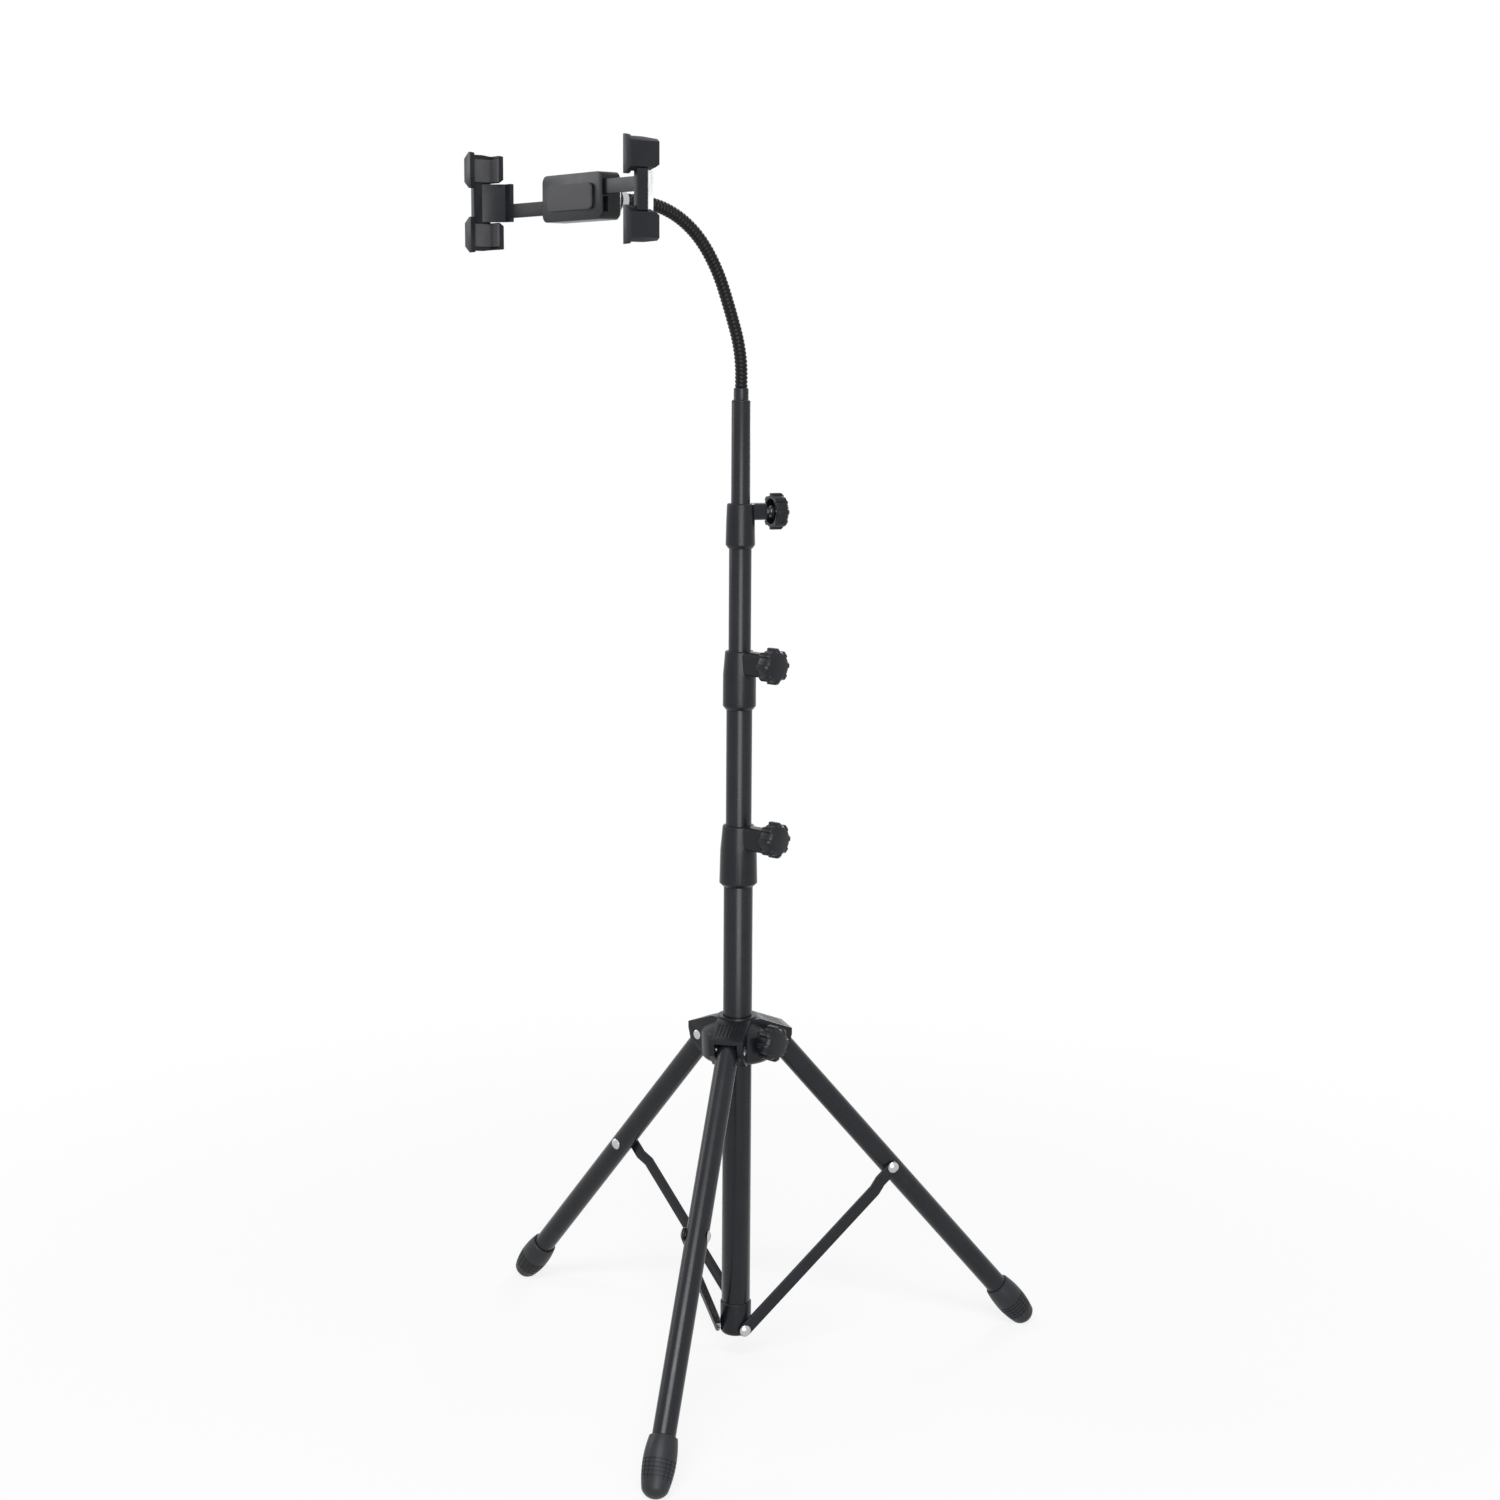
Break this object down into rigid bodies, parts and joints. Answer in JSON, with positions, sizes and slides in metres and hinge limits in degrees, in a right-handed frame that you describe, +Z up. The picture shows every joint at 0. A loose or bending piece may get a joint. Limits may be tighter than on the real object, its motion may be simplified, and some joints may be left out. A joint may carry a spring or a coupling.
{
  "type": "adjustable tablet floor stand",
  "caption": "Folding tripod floor stand with a telescoping mast, star-knob collars, a flexible ribbed neck and a sliding claw clamp that grips a tablet by its sides.",
  "frame": {"origin": "on the floor, on the mast's axis, in the plane of the three feet", "axes": "+Z up along the mast; the clamp faces -Y and its arms slide along X"},
  "size_m": [0.4685, 0.4899, 1.0355],
  "materials": {
    "tube_paint": "satin black powder coat",
    "moulding": "fine grained black",
    "neck_paint": "semi-gloss black",
    "zinc": "bright zinc",
    "foot_rubber": "matte black",
    "pad_rubber": "matte dark grey",
    "bush_plastic": "natural"
  },
  "bodies": {
    "base": {"mast_tube": "tube_paint", "mast_collar": "moulding", "mast_bush": "bush_plastic", "mast_nut": "zinc", "bottom_cap": "moulding", "cap_rivets": "zinc"},
    "mast_knob": {"mast_knob": "moulding", "mast_screw": "zinc"},
    "lower": {"lower_tube": "tube_paint", "lower_collar": "moulding", "lower_bush": "bush_plastic", "lower_nut": "zinc"},
    "lower_knob": {"lower_knob": "moulding", "lower_screw": "zinc"},
    "middle": {"middle_tube": "tube_paint", "middle_collar": "moulding", "middle_nut": "zinc"},
    "middle_knob": {"middle_knob": "moulding", "middle_screw": "zinc"},
    "top_bush": {"middle_bush": "bush_plastic"},
    "top": {"top_tube": "tube_paint", "neck_ferrule": "tube_paint", "neck_1": "neck_paint"},
    "neck_2": {"neck_2": "neck_paint"},
    "neck_3": {"neck_3": "neck_paint"},
    "neck_4": {"neck_4": "neck_paint"},
    "neck_5": {"neck_5": "neck_paint"},
    "neck_6": {"neck_6": "neck_paint"},
    "neck_7": {"neck_7": "neck_paint", "ball_stud": "zinc"},
    "ball_seat": {"ball_seat": "bush_plastic"},
    "lock_nut": {"lock_nut": "moulding"},
    "clamp": {"clamp_housing": "moulding", "clamp_cover": "moulding", "rest_pad": "pad_rubber"},
    "arm_left": {"arm_left": "moulding", "arm_pads_left": "pad_rubber"},
    "arm_right": {"arm_right": "moulding", "arm_pads_right": "pad_rubber"},
    "hub": {"hub": "moulding", "hub_nut": "zinc", "hub_pins": "zinc"},
    "hub_knob": {"hub_knob": "moulding", "hub_screw": "zinc"},
    "leg_front": {"leg_front": "tube_paint", "foot_front": "foot_rubber", "leg_rivet_front": "zinc"},
    "brace_front": {"brace_front": "tube_paint", "brace_rivet_front": "zinc"},
    "leg_rear": {"leg_rear": "tube_paint", "foot_rear": "foot_rubber", "leg_rivet_rear": "zinc"},
    "brace_rear": {"brace_rear": "tube_paint", "brace_rivet_rear": "zinc"},
    "leg_left": {"leg_left": "tube_paint", "foot_left": "foot_rubber", "leg_rivet_left": "zinc"},
    "brace_left": {"brace_left": "tube_paint", "brace_rivet_left": "zinc"}
  },
  "joints": [
    {"name": "hub_slide", "type": "slide", "parent": "base", "child": "hub", "axis": [0, 0, 1], "range_m": [0, 0.09533]},
    {"name": "leg_front_fold", "type": "hinge", "parent": "hub", "child": "leg_front", "pos_m": [0.0223, -0.02658, 0.29016], "axis": [0.766, 0.6428, 0], "range_deg": [-0.05, 40.5]},
    {"name": "brace_front_fold", "type": "hinge", "parent": "base", "child": "brace_front", "pos_m": [0.00257, -0.00306, 0.029], "axis": [-0.766, -0.6428, 0], "range_deg": [-0.05, 36.57]},
    {"name": "leg_rear_fold", "type": "hinge", "parent": "hub", "child": "leg_rear", "pos_m": [0.01187, 0.03261, 0.29016], "axis": [-0.9397, 0.342, 0], "range_deg": [-0.05, 40.5]},
    {"name": "brace_rear_fold", "type": "hinge", "parent": "base", "child": "brace_rear", "pos_m": [0.00137, 0.00376, 0.029], "axis": [0.9397, -0.342, 0], "range_deg": [-0.05, 36.57]},
    {"name": "leg_left_fold", "type": "hinge", "parent": "hub", "child": "leg_left", "pos_m": [-0.03417, -0.00603, 0.29016], "axis": [0.1736, -0.9848, 0], "range_deg": [-0.05, 40.5]},
    {"name": "brace_left_fold", "type": "hinge", "parent": "base", "child": "brace_left", "pos_m": [-0.00394, -0.00069, 0.029], "axis": [-0.1736, 0.9848, 0], "range_deg": [-0.05, 36.57]},
    {"name": "hub_knob_turn", "type": "hinge", "parent": "hub", "child": "hub_knob", "pos_m": [0.03545, 0.00625, 0.29456], "axis": [0.9848, 0.1736, 0], "continuous": true},
    {"name": "mast_knob_turn", "type": "hinge", "parent": "base", "child": "mast_knob", "pos_m": [0.03424, 0.00728, 0.4718], "axis": [0.9781, 0.2079, 0], "continuous": true},
    {"name": "lower_knob_turn", "type": "hinge", "parent": "lower", "child": "lower_knob", "pos_m": [0.03309, 0.00524, 0.6196], "axis": [0.9877, 0.1564, 0], "continuous": true},
    {"name": "middle_knob_turn", "type": "hinge", "parent": "middle", "child": "middle_knob", "pos_m": [0.00616, 0.0267, 0.746], "axis": [0.225, 0.9744, 0], "continuous": true},
    {"name": "lower_slide", "type": "slide", "parent": "base", "child": "lower", "axis": [0, 0, 1], "range_m": [-0.099, 0.175]},
    {"name": "middle_slide", "type": "slide", "parent": "lower", "child": "middle", "axis": [0, 0, 1], "range_m": [-0.085, 0.175]},
    {"name": "top_swivel", "type": "hinge", "parent": "middle", "child": "top_bush", "pos_m": [0, 0, 0.7412], "axis": [0, 0, 1], "continuous": true},
    {"name": "top_slide", "type": "slide", "parent": "top_bush", "child": "top", "axis": [0, 0, 1], "range_m": [-0.082, 0.16]},
    {"name": "neck_bend_1", "type": "hinge", "parent": "top", "child": "neck_2", "pos_m": [0, 0, 0.8582], "axis": [1, 0, 0], "range_deg": [-15, 6]},
    {"name": "neck_bend_2", "type": "hinge", "parent": "neck_2", "child": "neck_3", "pos_m": [0, -0.00624, 0.89551], "axis": [1, 0, 0], "range_deg": [-15, 6]},
    {"name": "neck_bend_3", "type": "hinge", "parent": "neck_3", "child": "neck_4", "pos_m": [0, -0.01885, 0.92922], "axis": [1, 0, 0], "range_deg": [-15, 6]},
    {"name": "neck_bend_4", "type": "hinge", "parent": "neck_4", "child": "neck_5", "pos_m": [0, -0.03653, 0.96047], "axis": [1, 0, 0], "range_deg": [-15, 6]},
    {"name": "neck_bend_5", "type": "hinge", "parent": "neck_5", "child": "neck_6", "pos_m": [0, -0.06164, 0.98308], "axis": [1, 0, 0], "range_deg": [-15, 6]},
    {"name": "neck_bend_6", "type": "hinge", "parent": "neck_6", "child": "neck_7", "pos_m": [0, -0.08958, 0.99353], "axis": [1, 0, 0], "range_deg": [-15, 6]},
    {"name": "clamp_pan", "type": "hinge", "parent": "neck_7", "child": "ball_seat", "pos_m": [0, -0.13395, 0.99579], "axis": [0, 0, 1], "range_deg": [-17, 17]},
    {"name": "clamp_tilt", "type": "hinge", "parent": "ball_seat", "child": "lock_nut", "pos_m": [0, -0.13395, 0.99579], "axis": [1, 0, 0], "range_deg": [-17, 17]},
    {"name": "clamp_spin", "type": "hinge", "parent": "lock_nut", "child": "clamp", "pos_m": [0, -0.13395, 0.99579], "axis": [0, -1, 0], "continuous": true},
    {"name": "arm_right_slide", "type": "slide", "parent": "clamp", "child": "arm_right", "axis": [1, 0, 0], "range_m": [-0.05, 0.004]},
    {"name": "arm_left_slide", "type": "slide", "parent": "clamp", "child": "arm_left", "axis": [-1, 0, 0], "range_m": [-0.05, 0.004]}
  ],
  "couplings": [
    {"joint": "leg_front_fold", "follows": "hub_slide", "rad_per_m": 7.4057},
    {"joint": "brace_front_fold", "follows": "hub_slide", "rad_per_m": 6.6856},
    {"joint": "leg_rear_fold", "follows": "hub_slide", "rad_per_m": 7.4057},
    {"joint": "brace_rear_fold", "follows": "hub_slide", "rad_per_m": 6.6856},
    {"joint": "leg_left_fold", "follows": "hub_slide", "rad_per_m": 7.4057},
    {"joint": "brace_left_fold", "follows": "hub_slide", "rad_per_m": 6.6856},
    {"joint": "neck_bend_2", "follows": "neck_bend_1", "ratio": 1},
    {"joint": "neck_bend_4", "follows": "neck_bend_3", "ratio": 1},
    {"joint": "neck_bend_5", "follows": "neck_bend_3", "ratio": 1},
    {"joint": "neck_bend_6", "follows": "neck_bend_3", "ratio": 1}
  ]
}
